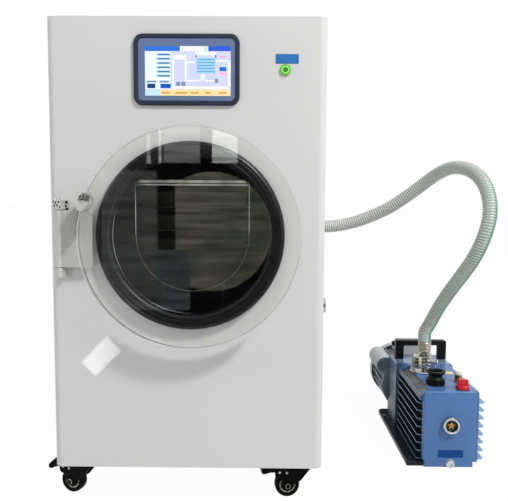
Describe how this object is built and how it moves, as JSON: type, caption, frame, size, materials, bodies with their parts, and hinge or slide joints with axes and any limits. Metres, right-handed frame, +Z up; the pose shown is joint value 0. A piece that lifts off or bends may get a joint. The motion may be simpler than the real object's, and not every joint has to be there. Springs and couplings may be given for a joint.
{
  "type": "freeze dryer",
  "caption": "Floor-standing freeze dryer: cabinet on casters with a round clear door, racked vacuum chamber and touch screen, joined by a hose to a finned vacuum pump beside it.",
  "frame": {"origin": "middle of the footprint on the floor, the free hose left out", "axes": "+X to the right seen from the front, +Y to the back (the door faces -Y), +Z up"},
  "size_m": [1.088, 0.8694, 1.075],
  "materials": {
    "white_paint": "satin powder coat",
    "galvanised_steel": "galvanised sheet",
    "stainless_steel": "brushed stainless",
    "copper": "bare copper",
    "insulation_foam": "cast foam",
    "gasket_rubber": "smooth black rubber",
    "black_plastic": "satin moulded plastic",
    "clear_acrylic": "clear polished acrylic",
    "screen_frame": "dark blue moulded frame",
    "screen": "glossy display",
    "chrome": "bright plated",
    "green_light": "translucent lit cap",
    "black_paint": "black enamel",
    "tyre_rubber": "moulded rubber",
    "pump_blue": "glossy blue enamel",
    "dark_blue": "dark blue enamel",
    "motor_grey": "light grey enamel",
    "red_plastic": "glossy moulded plastic",
    "brass": "turned brass",
    "clear_pvc": "clear tube with a wire spiral"
  },
  "bodies": {
    "cabinet": {"button_bezel": "chrome", "capacitor_cover": "motor_grey", "chassis": "galvanised_steel", "compressor": "black_paint", "condenser": "galvanised_steel", "control_box": "galvanised_steel", "door_gasket": "gasket_rubber", "drain_plug": "chrome", "drain_valve": "stainless_steel", "evaporator_sleeve": "copper", "exhaust_cap": "black_plastic", "foam_jacket": "insulation_foam", "front_panel": "white_paint", "hinge_bracket": "stainless_steel", "hinge_pin": "stainless_steel", "inlet_adaptor": "chrome", "motor_cowl": "motor_grey", "power_inlet": "black_plastic", "pump_block": "pump_blue", "pump_case": "pump_blue", "pump_foot": "dark_blue", "pump_handle": "black_plastic", "pump_motor": "motor_grey", "rack_shroud": "stainless_steel", "rear_panel": "white_paint", "relief_valve": "brass", "screen_bezel": "screen_frame", "screen_glass": "screen", "shelf_1": "stainless_steel", "shelf_2": "stainless_steel", "shelf_3": "stainless_steel", "side_panel_left": "white_paint", "side_panel_right": "white_paint", "sight_glass": "chrome", "terminal_box": "motor_grey", "top_panel": "white_paint", "tray_1": "stainless_steel", "tray_2": "stainless_steel", "tray_3": "stainless_steel", "vacuum_chamber": "stainless_steel", "vacuum_hose": "clear_pvc", "vacuum_port": "chrome"},
    "door": {"door_arm": "stainless_steel", "door_clamp": "black_plastic", "door_disc": "clear_acrylic"},
    "button": {"power_button": "green_light"},
    "drain_knob_body": {"drain_knob": "chrome"},
    "ballast_knob_body": {"ballast_knob": "red_plastic"},
    "condenser_fan_body": {"condenser_fan": "black_plastic"},
    "motor_fan_body": {"motor_fan": "black_plastic"},
    "swivel_front_left": {"caster_fork_front_left": "black_paint"},
    "wheel_front_left": {"caster_wheel_front_left": "tyre_rubber"},
    "pedal_front_left": {"brake_pedal_front_left": "black_paint"},
    "swivel_front_right": {"caster_fork_front_right": "black_paint"},
    "wheel_front_right": {"caster_wheel_front_right": "tyre_rubber"},
    "pedal_front_right": {"brake_pedal_front_right": "black_paint"},
    "swivel_rear_left": {"caster_fork_rear_left": "black_paint"},
    "wheel_rear_left": {"caster_wheel_rear_left": "tyre_rubber"},
    "swivel_rear_right": {"caster_fork_rear_right": "black_paint"},
    "wheel_rear_right": {"caster_wheel_rear_right": "tyre_rubber"}
  },
  "joints": [
    {"name": "door_swing", "type": "hinge", "parent": "cabinet", "child": "door", "pos_m": [-0.48133, -0.39365, 0.6065], "axis": [0, 0, -1], "range_deg": [0, 120]},
    {"name": "button_press", "type": "slide", "parent": "cabinet", "child": "button", "axis": [0, 1, 0], "range_m": [0, 0.003], "stiffness_N_per_m": 400},
    {"name": "drain_knob_turn", "type": "hinge", "parent": "cabinet", "child": "drain_knob_body", "pos_m": [0.11567, -0.13365, 0.417], "axis": [1, 0, 0], "range_deg": [0, 90]},
    {"name": "ballast_knob_turn", "type": "hinge", "parent": "cabinet", "child": "ballast_knob_body", "pos_m": [0.47967, -0.14465, 0.215], "axis": [0, 0, 1], "range_deg": [0, 120]},
    {"name": "condenser_fan_spin", "type": "hinge", "parent": "cabinet", "child": "condenser_fan_body", "pos_m": [-0.11433, 0.29135, 0.235], "axis": [0, 1, 0], "continuous": true},
    {"name": "motor_fan_spin", "type": "hinge", "parent": "cabinet", "child": "motor_fan_body", "pos_m": [0.42867, 0.41435, 0.103], "axis": [0, 1, 0], "continuous": true},
    {"name": "swivel_turn_front_left", "type": "hinge", "parent": "cabinet", "child": "swivel_front_left", "pos_m": [-0.45533, -0.31865, 0.075], "axis": [0, 0, 1], "continuous": true},
    {"name": "wheel_spin_front_left", "type": "hinge", "parent": "swivel_front_left", "child": "wheel_front_left", "pos_m": [-0.4807, -0.30942, 0.0285], "axis": [0.342, 0.9397, 0], "continuous": true},
    {"name": "pedal_press_front_left", "type": "hinge", "parent": "swivel_front_left", "child": "pedal_front_left", "pos_m": [-0.49949, -0.30258, 0.062], "axis": [0.342, 0.9397, 0], "range_deg": [0, 12]},
    {"name": "swivel_turn_front_right", "type": "hinge", "parent": "cabinet", "child": "swivel_front_right", "pos_m": [0.04667, -0.31865, 0.075], "axis": [0, 0, 1], "continuous": true},
    {"name": "wheel_spin_front_right", "type": "hinge", "parent": "swivel_front_right", "child": "wheel_front_right", "pos_m": [0.01994, -0.32241, 0.0285], "axis": [-0.1392, 0.9903, 0], "continuous": true},
    {"name": "pedal_press_front_right", "type": "hinge", "parent": "swivel_front_right", "child": "pedal_front_right", "pos_m": [0.00013, -0.32519, 0.062], "axis": [-0.1392, 0.9903, 0], "range_deg": [-12, 0]},
    {"name": "swivel_turn_rear_left", "type": "hinge", "parent": "cabinet", "child": "swivel_rear_left", "pos_m": [-0.45533, 0.26135, 0.075], "axis": [0, 0, 1], "continuous": true},
    {"name": "wheel_spin_rear_left", "type": "hinge", "parent": "swivel_rear_left", "child": "wheel_rear_left", "pos_m": [-0.48233, 0.26135, 0.0285], "axis": [0, 1, 0], "continuous": true},
    {"name": "swivel_turn_rear_right", "type": "hinge", "parent": "cabinet", "child": "swivel_rear_right", "pos_m": [0.04667, 0.26135, 0.075], "axis": [0, 0, 1], "continuous": true},
    {"name": "wheel_spin_rear_right", "type": "hinge", "parent": "swivel_rear_right", "child": "wheel_rear_right", "pos_m": [0.01967, 0.26135, 0.0285], "axis": [0, 1, 0], "continuous": true}
  ]
}
